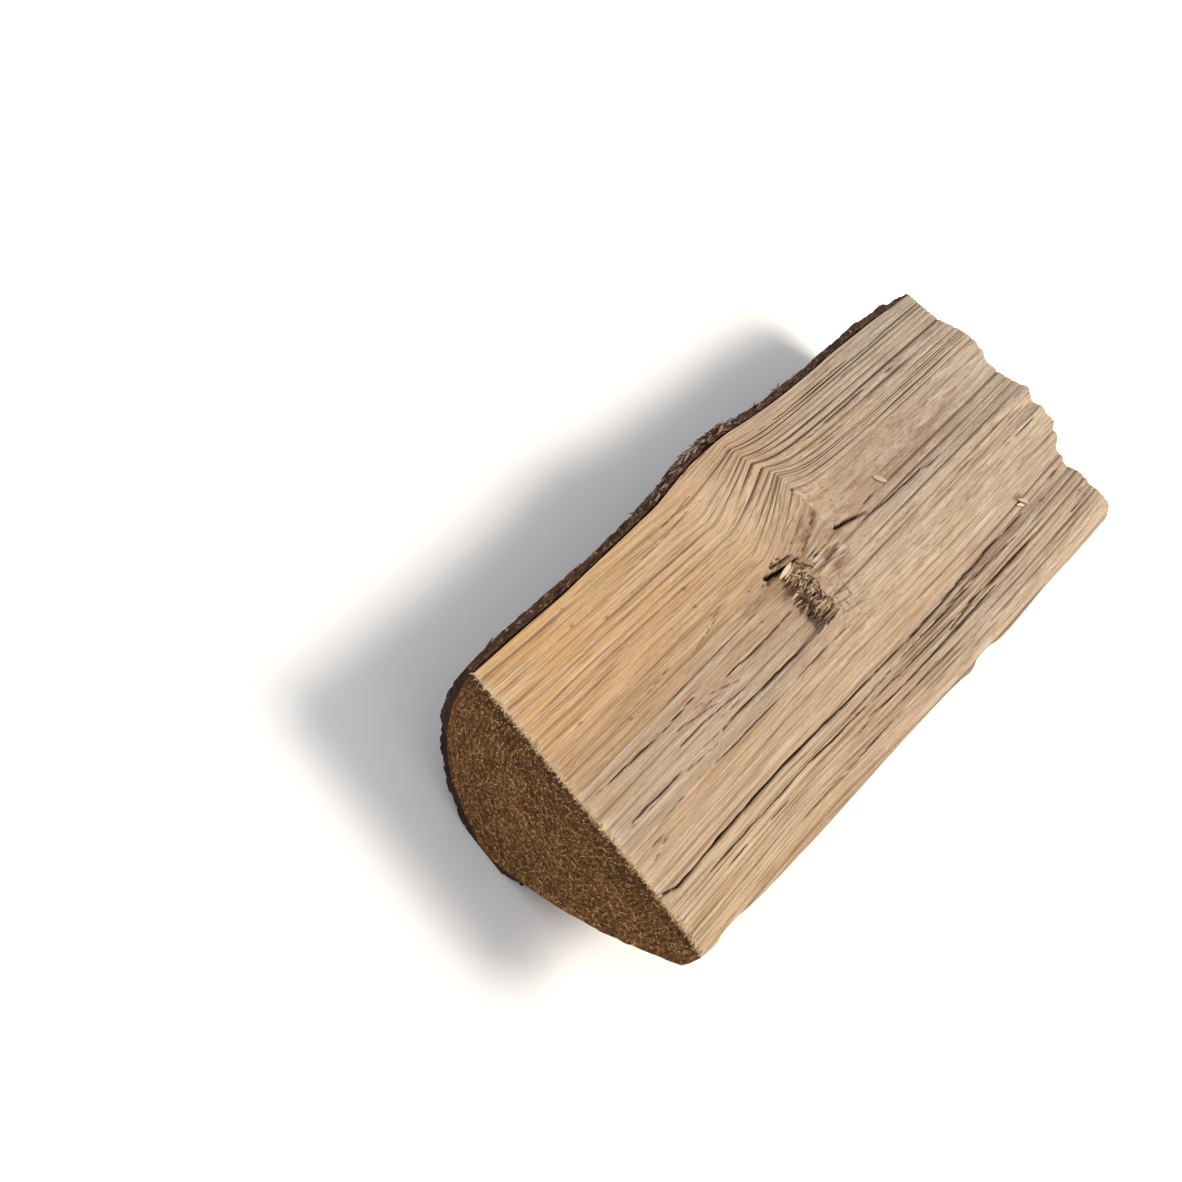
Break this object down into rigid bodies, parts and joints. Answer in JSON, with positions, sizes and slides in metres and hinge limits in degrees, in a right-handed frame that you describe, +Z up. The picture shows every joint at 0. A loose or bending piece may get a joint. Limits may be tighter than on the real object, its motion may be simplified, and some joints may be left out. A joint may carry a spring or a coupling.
{
  "type": "split log",
  "caption": "Half-round piece of split softwood firewood: weathered split face with a torn knot and drying checks, bark on the round side, two sawn ends.",
  "frame": {"origin": "middle of the log's box across and along, on the surface that its bark side rests on", "axes": "+Z up, out of the split face; +Y along the grain, from the near sawn end to the far one; +X across the split face, from the bark-covered edge to the bare one"},
  "size_m": [0.1043, 0.256, 0.0497],
  "materials": {
    "wood": "weathered split softwood, dry and matte, with rough dark sawn ends",
    "bark": "thin scaly brown bark, matte"
  },
  "bodies": {
    "root": {"split_log": "wood"}
  },
  "joints": []
}
